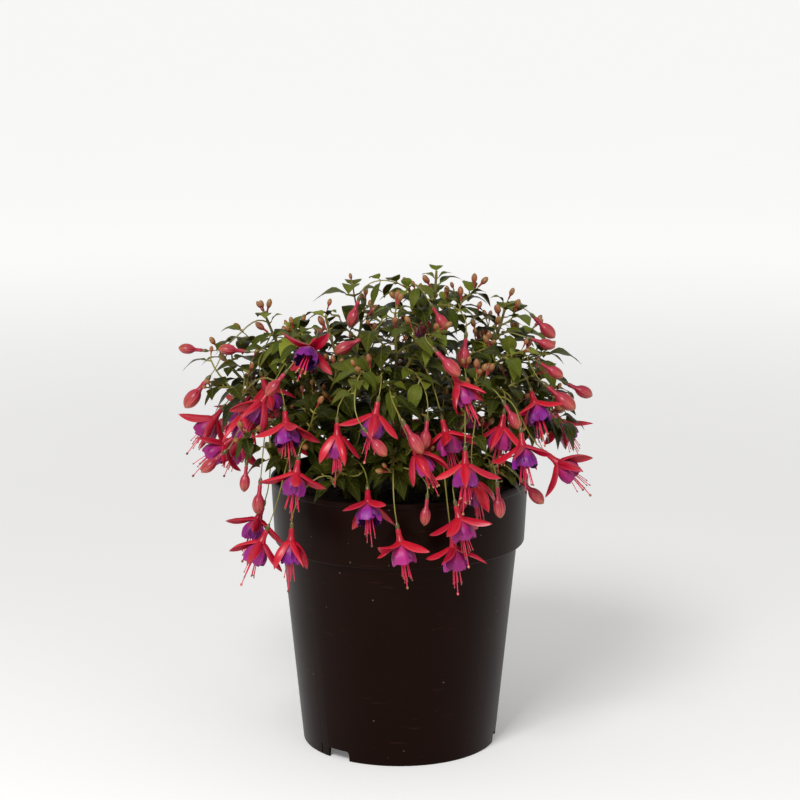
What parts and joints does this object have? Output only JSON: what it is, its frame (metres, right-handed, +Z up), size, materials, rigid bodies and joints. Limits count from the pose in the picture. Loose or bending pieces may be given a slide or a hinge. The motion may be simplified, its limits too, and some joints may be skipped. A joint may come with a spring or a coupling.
{
  "type": "potted fuchsia",
  "caption": "Bushy fuchsia in flower in a round black nursery pot: leafy arching stems, closed buds and hanging red and violet bell flowers.",
  "frame": {"origin": "centre of the pot's foot, on the surface that it stands on", "axes": "+Z up, -Y towards the front of the plant, +X to the right seen from the front"},
  "size_m": [0.3118, 0.29, 0.35],
  "materials": {
    "pot": "satin",
    "soil": "matte",
    "foliage": "satin",
    "sepal": "satin",
    "corolla": "matte"
  },
  "bodies": {
    "root": {"pot": "pot", "potting_soil": "soil", "leafy_stem_01": "foliage", "leafy_stem_02": "foliage", "leafy_stem_03": "foliage", "leafy_stem_04": "foliage", "leafy_stem_05": "foliage", "leafy_stem_06": "foliage", "leafy_stem_07": "foliage", "leafy_stem_08": "foliage", "leafy_stem_09": "foliage", "leafy_stem_10": "foliage", "bloom_01": "sepal", "bloom_02": "sepal", "bloom_03": "sepal", "bloom_04": "sepal", "bloom_05": "sepal", "bloom_06": "sepal", "bloom_07": "sepal", "bloom_08": "sepal", "bloom_09": "sepal", "bloom_10": "sepal", "bloom_11": "sepal", "bloom_12": "sepal", "bloom_13": "sepal", "bloom_14": "sepal", "bloom_15": "sepal", "bloom_16": "sepal", "bloom_17": "sepal", "bloom_18": "sepal", "bloom_19": "sepal", "bloom_20": "sepal", "bloom_21": "sepal", "bloom_22": "sepal", "bloom_23": "sepal", "bloom_24": "sepal", "bloom_25": "sepal", "bloom_26": "sepal", "bloom_27": "sepal", "bloom_28": "sepal", "bloom_29": "sepal", "bloom_30": "sepal", "bloom_31": "sepal", "bloom_32": "sepal", "bloom_33": "sepal", "bloom_34": "sepal", "bloom_35": "sepal", "bloom_36": "sepal", "bloom_37": "sepal", "corolla_01": "corolla", "corolla_02": "corolla", "corolla_03": "corolla", "corolla_04": "corolla", "corolla_05": "corolla", "corolla_06": "corolla", "corolla_07": "corolla", "corolla_08": "corolla"}
  },
  "joints": []
}
